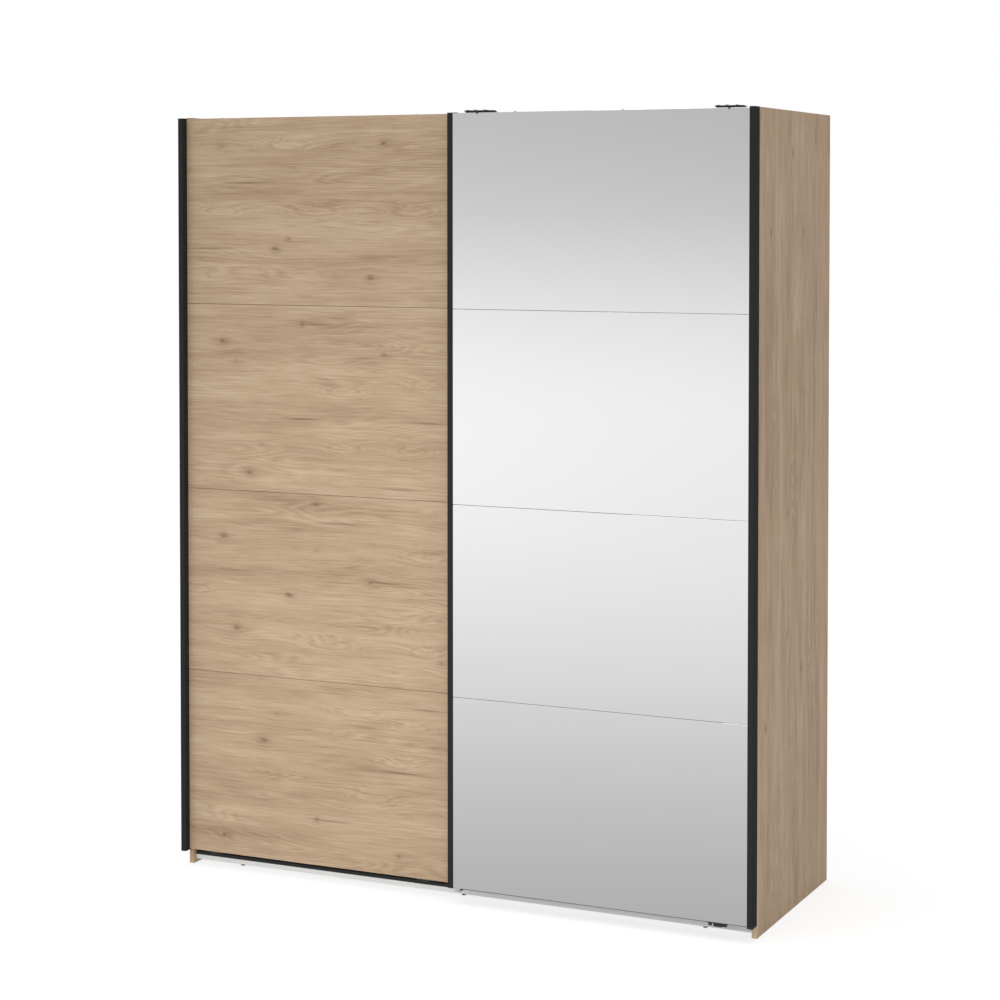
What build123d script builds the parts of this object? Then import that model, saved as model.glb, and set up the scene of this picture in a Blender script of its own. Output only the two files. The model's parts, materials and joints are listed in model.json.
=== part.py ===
from build123d import *
import os

# A two-door wardrobe whose doors hang in front of the carcass from a double track and slide
# past each other. The left door is clad in wood boards and runs behind; the right door
# carries mirror panes and runs in front.
#
# X runs along the width, +Y from the front to the back, +Z up, all in millimetres. The
# origin is on the floor, in the middle of the whole outline.

os.makedirs("parts", exist_ok=True)

# ------------------------------------------------------------------ driving dimensions
carcass_width = 1770.0
carcass_depth = 621.0
carcass_height = 2207.0
board = 15.0  # melamine-faced chipboard of the carcass
edge_break = 0.4  # the broken edge of every board
door_stand_out = 55.0  # front of the mirror door, before the side panels' front edges
door_overhang = 6.0  # each closed door reaches past its side panel by this much
door_width = 895.0
door_board = 12.0  # thickness of a door leaf
door_bottom = 46.5
door_board_heights = (535.0, 538.0, 543.0, 541.0)  # the four boards of a door, from below
door_travel = 850.0

# ------------------------------------------------------------------ places in the frame
half_width = carcass_width / 2
inner_x = half_width - board
front = -(carcass_depth - door_stand_out) / 2  # the side panels' front edges
back = front + carcass_depth
door_edge = half_width + door_overhang
door_top = door_bottom + sum(door_board_heights)
seams = [door_bottom + sum(door_board_heights[:i]) for i in range(5)]


def depth(distance):
    """Y of a plane that lies this far behind the side panels' front edges."""
    return front + distance


# ------------------------------------------------------------------ carcass levels
panel_bottom = 11.0  # underside of the bottom panel, which the glides hold off the floor
panel_top = panel_bottom + board
lid_top = 2204.0
lid_bottom = lid_top - board
bottom_panel_front = 13.0
lid_front = 45.0
inner_front = 62.0  # front edge of the partition, behind both tracks
shelf_front = 66.0
boards_back = 617.0  # the inner boards end here, and the back panel starts
leaf_back = 620.0
partition_half = board / 2
hat_shelf_z = 1880.0
shelf_levels = (480.0, 940.0, 1400.0)
hanging_rail_z = 1800.0
hanging_rail_depth = 320.0

# ------------------------------------------------------------------ doors
wood_face = -14.5
wood_back = wood_face + door_board
mirror_face = -53.0
mirror_glass = 4.0
mirror_back = mirror_face + door_board
wood_left = -door_edge
wood_right = wood_left + door_width
mirror_right = door_edge
mirror_left = mirror_right - door_width
seam_gap = 1.0
spline_thickness = 3.0
spline_reach = 5.5  # how far a spline enters each board
profile_width = 16.0
profile_lip = 1.2
profile_wall = 1.5
profile_slot = 13.0  # how far a door board enters the profile
grip_depth = 36.0
mirror_lip = 2.0
cap_thickness = 1.0
cap_plug = 8.0
grip_cap_top = 3.0  # the mirror door's grip has a thicker cap above
grip_cap_bottom = 5.0  # and a foot below
cap_ear = 12.0  # the cap of the mirror door's edge profile laps the top of the glass
profile_bottom = door_bottom - 1.0
front_rounding = 1.0

# ------------------------------------------------------------------ hangers and tracks
hanger_inset = 82.0  # from a door's edge to the middle of its hanger
hanger_half = 31.0
hanger_plate = 2.0
hanger_foot = 2122.0
wheel_spread = 17.5
wheel_radius = 13.0
tread_radius = 11.5
wheel_half = 4.0
tread_half = 1.4
wheel_bore = 3.05
axle_radius = 3.0
collar_radius = 4.5
running_gap = 0.3
track_wall = 1.5
track_floor = 2158.0
rail_half = 1.0
wood_rail_y = 12.0
wood_rail_top = 2176.0
mirror_rail_y = 34.0
mirror_rail_top = 2189.0
wood_axle_z = wood_rail_top + tread_radius + running_gap
mirror_axle_z = mirror_rail_top + tread_radius + running_gap
arm_bottom = 2207.0
arm_top = 2210.0
arm_end = 27.0
track_end = inner_x - 0.5
screw_columns = [side * x for side in (-1, 1) for x in (153.0, 474.0, 795.0)]
guide_inset = 101.0
channel_top = 36.0
channel_front_top = 33.0
fin_bottom = 30.0


# ------------------------------------------------------------------ building blocks
def block(x0, x1, y0, y1, z0, z1, mode=Mode.ADD):
    """A block between two corners, added to or cut from the part being built."""
    with Locations((x0, y0, z0)):
        Box(x1 - x0, y1 - y0, z1 - z0, align=(Align.MIN, Align.MIN, Align.MIN), mode=mode)


def rod(point, direction, radius, length, mode=Mode.ADD):
    """A round pin, or with Mode.SUBTRACT a round hole, from a point along a direction."""
    with BuildSketch(Plane(origin=point, z_dir=direction)) as circle:
        Circle(radius)
    extrude(circle.sketch, amount=length, mode=mode)


def bore(point, direction, radius, length):
    """A round hole from a point along a direction."""
    rod(point, direction, radius, length, Mode.SUBTRACT)


def save(builder, label):
    """Names a finished piece and writes it to its own file."""
    builder.part.label = label
    export_step(builder.part, f"parts/{label}.step")


# ------------------------------------------------------------------ where the fittings go
# Cam fittings and dowels join the top and bottom panels to the sides and the partition.
cam_depths = (150.0, 520.0)
dowel_depths = (100.0, 570.0)
cam_distance = 34.0  # from the joint to the middle of the cam
cam_radius = 7.5
cam_height = 12.0
bolt_radius = 3.5
bolt_bore = 4.0
bolt_reach = 31.0
thread_radius = 2.5
thread_depth = 11.0
dowel_radius = 4.0
dowel_in_face = 10.0
dowel_in_edge = 24.0
lid_middle = lid_top - board / 2
floor_middle = panel_top - board / 2

# Steel pins carry the loose shelves.
pin_radius = 2.5
pin_depths = (110.0, 560.0)
pin_hole = 7.0
pin_reach = 9.0

# Two cups hold the hanging rail; each has a screw above and below the rail.
rail_radius = 12.5
rail_wall = 1.2
rail_end_gap = 0.3
socket_base = 2.5
socket_radius = 16.5
socket_depth = 12.0
socket_half = 12.0
socket_screw_radius = 1.6
socket_screw_reach = 9.5
socket_screw_offsets = (-22.0, 22.0)

# The top track is screwed to the top panel, and the bottom guide rail to the bottom panel.
track_screw_y = 54.0
track_screw_radius = 2.0
track_screw_grip = 13.0
track_screw_head = 4.0
track_screw_head_left = 2.2  # pan heads over the wood door
track_screw_head_right = 5.7  # taller heads over the mirror door
channel_screw_y = 20.0
channel_screw_radius = 1.8
channel_screw_grip = 12.0
channel_floor = 1.5

# Glides under the bottom panel stand on the floor.
glide_columns = (-725.0, 0.0, 725.0)
glide_depths = (42.0, 595.0)
glide_radius = 6.5
glide_pin = 2.5
glide_pin_length = 8.0

# The back panel is nailed into the side panels' rabbets and to the inner boards.
nail_radius = 0.9
nail_head_radius = 2.2
nail_head = 0.7
nail_length = 18.0
nail_levels = [150.0 + 270.0 * i for i in range(8)]
nail_columns = [side * x for side in (-1, 1) for x in (170.0, 450.0, 730.0)]
rabbet = 8.0
rabbet_nail_x = inner_x + rabbet / 2
leaf_nail_x = 5.0  # nails into the partition, each side of the joint

# Every nail as the point where it enters the back panel.
nail_points = [(side * x, z) for side in (-1, 1) for x in (rabbet_nail_x, leaf_nail_x) for z in nail_levels]
nail_points += [(x, z) for x in nail_columns for z in (floor_middle, lid_middle)]


# ================================================================== CARCASS
def side_panel(side, label):
    """A side panel: it stands on the floor, and a rabbet at its back takes the back panel."""
    inner = side * inner_x
    outer = side * half_width
    outward = (side, 0, 0)
    with BuildPart() as panel:
        block(min(inner, outer), max(inner, outer), depth(0), depth(carcass_depth), 0, carcass_height)
        chamfer(panel.edges(), edge_break)
        shoulder = sorted((inner - side, inner + side * rabbet))
        block(*shoulder, depth(boards_back), depth(carcass_depth) + 1,
              panel_bottom + 1, lid_top, Mode.SUBTRACT)
        for z in (floor_middle, lid_middle):
            for d in cam_depths:
                bore((inner, depth(d), z), outward, thread_radius, thread_depth)
            for d in dowel_depths:
                bore((inner, depth(d), z), outward, dowel_radius, dowel_in_face)
        levels = [hat_shelf_z] if side < 0 else [hat_shelf_z, *shelf_levels]
        for z in levels:
            for d in pin_depths:
                bore((inner, depth(d), z - pin_radius), outward, pin_radius, pin_hole)
        for z in nail_levels:
            bore((side * rabbet_nail_x, depth(boards_back), z), (0, -1, 0), nail_radius, nail_length)
        if side < 0:
            for offset in socket_screw_offsets:
                point = (inner, depth(hanging_rail_depth), hanging_rail_z + offset)
                bore(point, outward, socket_screw_radius, socket_screw_reach)
    save(panel, label)


def edge_fittings(z):
    """Cuts the edge bores for cam bolts and dowels into both ends of a level board."""
    for side in (-1, 1):
        for d in cam_depths:
            bore((side * inner_x, depth(d), z), (-side, 0, 0), bolt_bore, cam_distance)
        for d in dowel_depths:
            bore((side * inner_x, depth(d), z), (-side, 0, 0), dowel_radius, dowel_in_edge)


def top_panel():
    """The lid between the side panels; the top track is screwed to its front edge."""
    with BuildPart() as panel:
        block(-inner_x, inner_x, depth(lid_front), depth(boards_back), lid_bottom, lid_top)
        chamfer(panel.edges(), edge_break)
        edge_fittings(lid_middle)
        for d in cam_depths:
            for side in (-1, 1):
                centre = (side * (inner_x - cam_distance), depth(d), lid_top)
                bore(centre, (0, 0, -1), cam_radius, cam_height + 0.5)
            bore((0, depth(d), lid_bottom), (0, 0, 1), thread_radius, thread_depth)
        for d in dowel_depths:
            bore((0, depth(d), lid_bottom), (0, 0, 1), dowel_radius, dowel_in_face)
        for x in screw_columns:
            bore((x, depth(track_screw_y), lid_top), (0, 0, -1), track_screw_radius, track_screw_grip)
        for x in nail_columns:
            bore((x, depth(boards_back), lid_middle), (0, -1, 0), nail_radius, nail_length)
    save(panel, "top_panel")


def bottom_panel():
    """The floor of the wardrobe; its light front edge shows below the doors."""
    with BuildPart() as panel:
        block(-inner_x, inner_x, depth(bottom_panel_front), depth(boards_back), panel_bottom, panel_top)
        chamfer(panel.edges(), edge_break)
        edge_fittings(floor_middle)
        for d in cam_depths:
            for side in (-1, 1):
                centre = (side * (inner_x - cam_distance), depth(d), panel_bottom)
                bore(centre, (0, 0, 1), cam_radius, cam_height + 0.5)
            bore((0, depth(d), panel_top), (0, 0, -1), thread_radius, thread_depth)
        for d in dowel_depths:
            bore((0, depth(d), panel_top), (0, 0, -1), dowel_radius, dowel_in_face)
        for x in screw_columns:
            hole = (x, depth(channel_screw_y), panel_top)
            bore(hole, (0, 0, -1), channel_screw_radius, channel_screw_grip)
        for x in glide_columns:
            for d in glide_depths:
                bore((x, depth(d), panel_bottom), (0, 0, 1), glide_pin, glide_pin_length)
        for x in nail_columns:
            bore((x, depth(boards_back), floor_middle), (0, -1, 0), nail_radius, nail_length)
    save(panel, "bottom_panel")


def centre_partition():
    """The upright board that divides the wardrobe into two bays."""
    with BuildPart() as panel:
        block(-partition_half, partition_half, depth(inner_front), depth(boards_back),
              panel_top, lid_bottom)
        chamfer(panel.edges(), edge_break)
        for z, up in ((panel_top, 1), (lid_bottom, -1)):
            for d in cam_depths:
                bore((0, depth(d), z), (0, 0, up), bolt_bore, cam_distance)
                centre = (partition_half, depth(d), z + up * cam_distance)
                bore(centre, (-1, 0, 0), cam_radius, cam_height + 0.5)
            for d in dowel_depths:
                bore((0, depth(d), z), (0, 0, up), dowel_radius, dowel_in_edge)
        for z in (hat_shelf_z, *shelf_levels):
            for d in pin_depths:
                bore((partition_half, depth(d), z - pin_radius), (-1, 0, 0), pin_radius, pin_hole)
        for d in pin_depths:
            bore((-partition_half, depth(d), hat_shelf_z - pin_radius), (1, 0, 0), pin_radius, pin_hole)
        for offset in socket_screw_offsets:
            point = (-partition_half, depth(hanging_rail_depth), hanging_rail_z + offset)
            bore(point, (1, 0, 0), socket_screw_radius, socket_screw_reach)
        for side in (-1, 1):
            for z in nail_levels:
                bore((side * leaf_nail_x, depth(boards_back), z), (0, -1, 0), nail_radius, nail_length)
    save(panel, "centre_partition")


def shelf(side, z, label):
    """A loose shelf that lies on four pins."""
    clearance = 0.5
    near = side * (partition_half + clearance)
    far = side * (inner_x - clearance)
    with BuildPart() as plank:
        block(min(near, far), max(near, far), depth(shelf_front), depth(boards_back - 1), z, z + board)
        chamfer(plank.edges(), edge_break)
    save(plank, label)


def back_leaf(side, label):
    """One leaf of the hardboard back, nailed to the boards it covers."""
    near = side * 0.8
    far = side * (inner_x + rabbet - 0.5)
    with BuildPart() as leaf:
        block(min(near, far), max(near, far), depth(boards_back), depth(leaf_back),
              panel_bottom + 2, lid_top - 1)
        for x, z in nail_points:
            if x * side > 0:
                bore((x, depth(leaf_back), z), (0, -1, 0), nail_radius, leaf_back - boards_back)
    save(leaf, label)


def back_joiner():
    """The plastic strip that closes the joint between the two leaves of the back."""
    flange_half = 1.9
    with BuildPart() as strip:
        block(-flange_half, flange_half, depth(leaf_back), depth(carcass_depth),
              panel_bottom + 2, lid_top - 1)
        block(-0.7, 0.7, depth(boards_back + 0.2), depth(leaf_back), panel_bottom + 2, lid_top - 1)
    save(strip, "back_panel_joiner")


def nails():
    """The nails that hold the back panel, as separate solids."""
    with BuildPart() as group:
        for x, z in nail_points:
            rod((x, depth(leaf_back), z), (0, -1, 0), nail_radius, nail_length)
            rod((x, depth(leaf_back), z), (0, 1, 0), nail_head_radius, nail_head)
    save(group, "back_panel_nails")


def cam_bolts():
    """The bolts that screw into a face and that the cams pull on."""
    with BuildPart() as group:
        for d in cam_depths:
            for z in (floor_middle, lid_middle):
                for side in (-1, 1):
                    start = (side * inner_x, depth(d), z)
                    rod(start, (side, 0, 0), thread_radius, thread_depth)
                    rod(start, (-side, 0, 0), bolt_radius, bolt_reach)
            for z, up in ((panel_top, 1), (lid_bottom, -1)):
                rod((0, depth(d), z), (0, 0, -up), thread_radius, thread_depth)
                rod((0, depth(d), z), (0, 0, up), bolt_radius, bolt_reach)
    save(group, "cam_bolts")


def cam_locks():
    """The round cams, each with a mouth for its bolt and a cross slot for the driver."""
    cam = cam_radius - 0.1
    with BuildPart() as group:
        for d in cam_depths:
            for side in (-1, 1):
                x = side * (inner_x - cam_distance)
                for z, up in ((lid_top, -1), (panel_bottom, 1)):
                    rod((x, depth(d), z), (0, 0, up), cam, cam_height)
                    middle = z + up * board / 2
                    bore((side * inner_x, depth(d), middle), (-side, 0, 0), bolt_bore, cam_distance + 2)
                    slot = 1.5 if up > 0 else -1.5
                    block(x - 5, x + 5, depth(d) - 0.6, depth(d) + 0.6,
                          min(z, z + slot), max(z, z + slot), Mode.SUBTRACT)
            for z, up in ((panel_top, 1), (lid_bottom, -1)):
                middle = z + up * cam_distance
                rod((partition_half, depth(d), middle), (-1, 0, 0), cam, cam_height)
                bore((0, depth(d), z), (0, 0, up), bolt_bore, cam_distance + 2)
                block(partition_half - 1.5, partition_half, depth(d) - 0.6, depth(d) + 0.6,
                      middle - 5, middle + 5, Mode.SUBTRACT)
    save(group, "cam_locks")


def dowels():
    """The beech dowels beside the cam fittings."""
    length = dowel_in_face + dowel_in_edge - 1.0
    with BuildPart() as group:
        for d in dowel_depths:
            for z in (floor_middle, lid_middle):
                for side in (-1, 1):
                    start = (side * (inner_x + dowel_in_face - 0.5), depth(d), z)
                    rod(start, (-side, 0, 0), dowel_radius, length)
            for z, up in ((panel_top, 1), (lid_bottom, -1)):
                rod((0, depth(d), z - up * (dowel_in_face - 0.5)), (0, 0, up), dowel_radius, length)
    save(group, "dowels")


def shelf_pins():
    """The steel pins that carry the loose shelves."""
    places = [(-inner_x, -1, hat_shelf_z), (-partition_half, 1, hat_shelf_z)]
    places += [(inner_x, 1, z) for z in (hat_shelf_z, *shelf_levels)]
    places += [(partition_half, -1, z) for z in (hat_shelf_z, *shelf_levels)]
    with BuildPart() as group:
        for x, into_board, z in places:
            for d in pin_depths:
                tip = (x + into_board * pin_hole, depth(d), z - pin_radius)
                rod(tip, (-into_board, 0, 0), pin_radius, pin_hole + pin_reach)
    save(group, "shelf_pins")


def hanging_rail():
    """The tube that clothes hang from, in the left bay."""
    left = -inner_x + socket_base + rail_end_gap
    right = -partition_half - socket_base - rail_end_gap
    centre = (left, depth(hanging_rail_depth), hanging_rail_z)
    with BuildPart() as tube:
        rod(centre, (1, 0, 0), rail_radius, right - left)
        bore(centre, (1, 0, 0), rail_radius - rail_wall, right - left)
    save(tube, "hanging_rail")


def rail_sockets():
    """The two cups that hold the hanging rail, open at the top so that it drops in."""
    middle = depth(hanging_rail_depth)
    with BuildPart() as group:
        for x, inward in ((-inner_x, 1), (-partition_half, -1)):
            wall = sorted((x, x + inward * socket_base))
            block(*wall, middle - socket_half, middle + socket_half,
                  hanging_rail_z - 30, hanging_rail_z + 30)
            rod((x, middle, hanging_rail_z), (inward, 0, 0), socket_radius, socket_depth)
            face = (x + inward * socket_base, middle, hanging_rail_z)
            bore(face, (inward, 0, 0), rail_radius + running_gap, socket_depth)
            mouth = sorted((x + inward * socket_base, x + inward * (socket_depth + 1)))
            block(*mouth, middle - rail_radius - running_gap, middle + rail_radius + running_gap,
                  hanging_rail_z, hanging_rail_z + socket_radius + 1, Mode.SUBTRACT)
            for offset in socket_screw_offsets:
                bore((x, middle, hanging_rail_z + offset), (inward, 0, 0), socket_screw_radius, socket_base)
    save(group, "hanging_rail_sockets")


def socket_screws():
    """The screws of the two rail sockets."""
    middle = depth(hanging_rail_depth)
    with BuildPart() as group:
        for x, inward in ((-inner_x, 1), (-partition_half, -1)):
            for offset in socket_screw_offsets:
                head = (x + inward * socket_base, middle, hanging_rail_z + offset)
                rod(head, (-inward, 0, 0), socket_screw_radius, socket_base + socket_screw_reach)
                rod(head, (inward, 0, 0), 3.2, 1.4)
    save(group, "hanging_rail_socket_screws")


# ------------------------------------------------------------------ tracks and feet
def top_track():
    """The aluminium double track: a trough with one upright running rail for each door."""
    flange_back = 63.0
    trough_front = 5.0
    lip_top = track_floor + 8.0
    with BuildPart() as track:
        with BuildSketch(Plane.YZ.offset(-track_end)) as section:
            walls = [
                (trough_front, lid_front, track_floor, track_floor + 2.0),
                (trough_front, trough_front + track_wall, track_floor, lip_top),
                (lid_front - track_wall, lid_front, track_floor, lid_top + track_wall),
                (lid_front - track_wall, flange_back, lid_top, lid_top + track_wall),
                (wood_rail_y - rail_half, wood_rail_y + rail_half, track_floor, wood_rail_top),
                (mirror_rail_y - rail_half, mirror_rail_y + rail_half, track_floor, mirror_rail_top),
            ]
            for y0, y1, z0, z1 in walls:
                with Locations((depth((y0 + y1) / 2), (z0 + z1) / 2)):
                    Rectangle(y1 - y0, z1 - z0)
            crests = [v for v in section.vertices() if abs(v.Y - wood_rail_top) < 0.01
                      or abs(v.Y - mirror_rail_top) < 0.01]
            fillet(crests, rail_half * 0.8)
        extrude(amount=2 * track_end)
        for x in screw_columns:
            hole = (x, depth(track_screw_y), lid_top + track_wall)
            bore(hole, (0, 0, -1), track_screw_radius, track_wall)
    save(track, "top_track")


def bottom_channel():
    """The black guide rail on the bottom panel, with one channel for each door's guides."""
    walls = [
        (bottom_panel_front, 40.0, panel_top, panel_top + channel_floor),
        (bottom_panel_front, 14.5, panel_top, channel_front_top),
        (25.0, 27.0, panel_top, channel_top),
        (38.0, 40.0, panel_top, channel_top),
        (bottom_panel_front - 1.3, bottom_panel_front, panel_top - 1.3, panel_top + channel_floor),
    ]
    with BuildPart() as channel:
        with BuildSketch(Plane.YZ.offset(-track_end)):
            for y0, y1, z0, z1 in walls:
                with Locations((depth((y0 + y1) / 2), (z0 + z1) / 2)):
                    Rectangle(y1 - y0, z1 - z0)
        extrude(amount=2 * track_end)
        for x in screw_columns:
            hole = (x, depth(channel_screw_y), panel_top)
            bore(hole, (0, 0, 1), channel_screw_radius, channel_floor)
    save(channel, "bottom_guide_rail")


def track_screws():
    """The screws of the top track and of the bottom guide rail."""
    with BuildPart() as group:
        for x in screw_columns:
            top = (x, depth(track_screw_y), lid_top + track_wall)
            rod(top, (0, 0, -1), track_screw_radius, track_wall + track_screw_grip)
            head = track_screw_head_right if x > 0 else track_screw_head_left
            rod(top, (0, 0, 1), track_screw_head, head)
            low = (x, depth(channel_screw_y), panel_top + channel_floor)
            rod(low, (0, 0, -1), channel_screw_radius, channel_floor + channel_screw_grip)
            rod(low, (0, 0, 1), 3.5, 1.2)
        rims = group.edges().filter_by(GeomType.CIRCLE).group_by(Axis.Z)[-1]
        chamfer(rims, 0.8)
    save(group, "track_screws")


def end_stops():
    """The rubber blocks that end each door's travel, clipped over the running rails."""
    length = 20.0
    stop_gap = 1.5
    wheel_reach = wheel_spread + wheel_radius
    wood_closed = wood_left + hanger_inset - hanger_half - stop_gap
    wood_open = wood_right - hanger_inset + hanger_half + door_travel + stop_gap
    mirror_closed = mirror_right - hanger_inset + wheel_reach + stop_gap
    mirror_open = mirror_left + hanger_inset - wheel_reach - door_travel - stop_gap
    stops = [
        (wood_closed - length, wood_rail_y, wood_rail_top),
        (wood_open, wood_rail_y, wood_rail_top),
        (mirror_closed, mirror_rail_y, mirror_rail_top),
        (mirror_open - length, mirror_rail_y, mirror_rail_top),
    ]
    with BuildPart() as group:
        for x, y, top in stops:
            block(x, x + length, depth(y - 4), depth(y + 4), top - 7, top + 15)
        chamfer(group.edges().filter_by(Axis.Y), 1.0)
        for x, y, top in stops:
            block(x, x + length, depth(y - rail_half), depth(y + rail_half), top - 8, top, Mode.SUBTRACT)
    save(group, "track_end_stops")


def floor_glides():
    """The black plastic feet under the bottom panel."""
    with BuildPart() as group:
        for x in glide_columns:
            for d in glide_depths:
                rod((x, depth(d), 0), (0, 0, 1), glide_radius, panel_bottom)
        chamfer(group.edges().group_by(Axis.Z)[0], 0.8)
        for x in glide_columns:
            for d in glide_depths:
                rod((x, depth(d), panel_bottom), (0, 0, 1), glide_pin, glide_pin_length - 0.5)
    save(group, "floor_glides")


# ================================================================== DOORS
def door_boards(left, right, face, rear, labels, hangers, screws):
    """The four boards of a door, from below; splines join them edge to edge."""
    middle = (face + rear) / 2
    x0 = left + profile_width - profile_slot
    x1 = right - profile_width + profile_slot
    groove_half = spline_thickness / 2 + 0.1
    groove = spline_reach + 0.4
    for i, label in enumerate(labels):
        z0 = seams[i] + (seam_gap / 2 if i > 0 else 0)
        z1 = seams[i + 1] - (seam_gap / 2 if i < 3 else 0)
        with BuildPart() as panel:
            block(x0, x1, depth(face), depth(rear), z0, z1)
            chamfer(panel.edges(), edge_break)
            if i > 0:
                block(x0 - 1, x1 + 1, depth(middle - groove_half), depth(middle + groove_half),
                      z0 - 1, z0 + groove, Mode.SUBTRACT)
            if i < 3:
                block(x0 - 1, x1 + 1, depth(middle - groove_half), depth(middle + groove_half),
                      z1 - groove, z1 + 1, Mode.SUBTRACT)
            if i == 3:
                for x in hangers:
                    block(x - hanger_half - 0.3, x + hanger_half + 0.3, depth(rear - hanger_plate),
                          depth(rear) + 1, hanger_foot - 0.3, z1 + 1, Mode.SUBTRACT)
            for point, direction, radius, length in screws:
                if z0 <= point[2] <= z1:
                    bore(point, direction, radius, length)
        yield label, panel


def splines(left, right, face, rear, label):
    """The three dark strips that join the boards and show in the seams."""
    middle = (face + rear) / 2
    reach = spline_reach + seam_gap / 2
    x0 = left + profile_width - profile_slot
    x1 = right - profile_width + profile_slot
    with BuildPart() as group:
        for z in seams[1:4]:
            block(x0, x1, depth(middle - spline_thickness / 2), depth(middle + spline_thickness / 2),
                  z - reach, z + reach)
    save(group, label)


def outline(outer, inward, y0, y1):
    """A rectangle of the profile's width, from its outer side, between two depths."""
    with Locations((outer + inward * profile_width / 2, depth((y0 + y1) / 2))):
        Rectangle(profile_width, y1 - y0)


def door_profile(outer, inward, y0, y1, face, chamber, label):
    """An edge profile: a slot grips the door board, and a grip also has a hollow chamber."""
    with BuildPart() as profile:
        with BuildSketch(Plane.XY.offset(profile_bottom)) as section:
            outline(outer, inward, y0, y1)
            fillet(section.vertices().group_by(Axis.Y)[0], front_rounding)
            slot_x = outer + inward * (profile_width - profile_slot / 2)
            with Locations((slot_x, depth(face + door_board / 2))):
                Rectangle(profile_slot, door_board, mode=Mode.SUBTRACT)
            if chamber:
                c0, c1 = chamber
                with Locations((outer + inward * profile_width / 2, depth((c0 + c1) / 2))):
                    Rectangle(profile_width - 2 * profile_wall, c1 - c0, mode=Mode.SUBTRACT)
        extrude(amount=door_top - profile_bottom)
    save(profile, label)


def end_caps(profiles, label):
    """The plastic caps on both ends of a door's profiles; a chamber takes a plug. Each row has
    a profile's outline, its chamber, the thickness above and below, and the length of an ear."""
    with BuildPart() as group:
        for outer, inward, y0, y1, chamber, top, bottom, ear in profiles:
            for z, away, thickness in ((door_top, 1, top), (profile_bottom, -1, bottom)):
                with BuildSketch(Plane.XY.offset(z)) as section:
                    outline(outer, inward, y0, y1)
                    fillet(section.vertices().group_by(Axis.Y)[0], front_rounding)
                extrude(amount=away * thickness)
                if chamber:
                    c0, c1 = chamber
                    with BuildSketch(Plane.XY.offset(z)):
                        with Locations((outer + inward * profile_width / 2, depth((c0 + c1) / 2))):
                            Rectangle(profile_width - 2 * profile_wall - 0.2, c1 - c0 - 0.2)
                    extrude(amount=-away * cap_plug)
            if ear:
                near = outer + inward * (profile_width - 1)
                far = outer + inward * (profile_width + ear)
                block(min(near, far), max(near, far), depth(y0 + 1), depth(y1 - 1), door_top, door_top + top)
    save(group, label)


def wheel(x, y, z, label):
    """A grooved track wheel with a dished hub."""
    with BuildPart() as roller:
        with BuildSketch(Plane(origin=(x, depth(y), z), x_dir=(1, 0, 0), z_dir=(0, -1, 0))):
            Circle(wheel_radius)
            Circle(wheel_bore, mode=Mode.SUBTRACT)
        extrude(amount=wheel_half, both=True)
        rims = roller.edges().filter_by(GeomType.CIRCLE).filter_by(lambda e: e.radius > wheel_radius - 0.01)
        chamfer(rims, 0.5)
        with BuildSketch(Plane(origin=(x, depth(y), z), x_dir=(1, 0, 0), z_dir=(0, -1, 0))):
            Circle(wheel_radius + 1)
            Circle(tread_radius, mode=Mode.SUBTRACT)
        extrude(amount=tread_half, both=True, mode=Mode.SUBTRACT)
        for side in (-1, 1):
            plane = Plane(origin=(x, depth(y) + side * wheel_half, z), x_dir=(1, 0, 0), z_dir=(0, -side, 0))
            with BuildSketch(plane):
                Circle(9.5)
                Circle(5.0, mode=Mode.SUBTRACT)
            extrude(amount=1.5, mode=Mode.SUBTRACT)
    save(roller, label)


def axles(centres, y_plate, y_wheel, z, label):
    """The axle of each wheel: through the hanger plate, a collar, the wheel, and a head."""
    wheel_near = y_wheel - wheel_half - running_gap
    wheel_far = y_wheel + wheel_half + running_gap
    with BuildPart() as group:
        for x in centres:
            rod((x, depth(y_plate - hanger_plate), z), (0, 1, 0), axle_radius,
                wheel_far - y_plate + hanger_plate)
            rod((x, depth(y_plate), z), (0, 1, 0), collar_radius, wheel_near - y_plate)
            rod((x, depth(wheel_far), z), (0, 1, 0), collar_radius, 1.5)
    save(group, label)


# ------------------------------------------------------------------ fasteners of the doors
hanger_screw_places = ((-22.0, 2172.0), (22.0, 2172.0), (-22.0, 2138.0), (22.0, 2138.0))
door_screw_radius = 1.8
door_screw_head = 3.0
head_height = 1.2
guide_foot = 3.0  # thickness of a guide's foot, which its screws clamp to the door
hanger_screw_grip = 5.0
adjuster_radius = 2.5
adjuster_depth = 12.0
adjuster_y = mirror_back - 4.6  # in the carrier board, just clear of the hanger's leg


def hanger_screws(centres, rear):
    """Where the screws of a door's hangers enter its board: point, direction, radius, depth."""
    start = depth(rear - hanger_plate)
    return [((x + dx, start, z), (0, -1, 0), door_screw_radius, hanger_screw_grip)
            for x in centres for dx, z in hanger_screw_places]


def guide_screws(centres, spread, y):
    """Where the screws of a door's bottom guides enter its lowest board."""
    return [((x + dx, depth(y), door_bottom), (0, 0, 1), door_screw_radius, 20.0)
            for x in centres for dx in spread]


def draw_screws(screws):
    """Screws as solids: each has its thread in the board, its shank in the fitting and a head."""
    for point, direction, radius, length in screws:
        grip = hanger_plate if direction[2] == 0 else guide_foot
        rod(point, direction, radius, length)
        rod(point, tuple(-c for c in direction), radius, grip)
        under_head = tuple(p - c * grip for p, c in zip(point, direction))
        rod(under_head, tuple(-c for c in direction), door_screw_head, head_height)


# ------------------------------------------------------------------ the wood door
wood_hangers = (wood_left + hanger_inset, wood_right - hanger_inset)
wood_guides = (wood_left + guide_inset, wood_right - guide_inset)
wood_guide_bottom = 39.5
wood_guide_y = wood_face + door_board / 2
wood_screws = hanger_screws(wood_hangers, wood_back)
wood_guide_screws = guide_screws(wood_guides, (-22.0, 22.0), wood_guide_y)
wood_grip_front = wood_back + profile_lip - grip_depth
wood_chamber = (wood_grip_front + profile_wall, wood_face - profile_lip)


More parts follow.
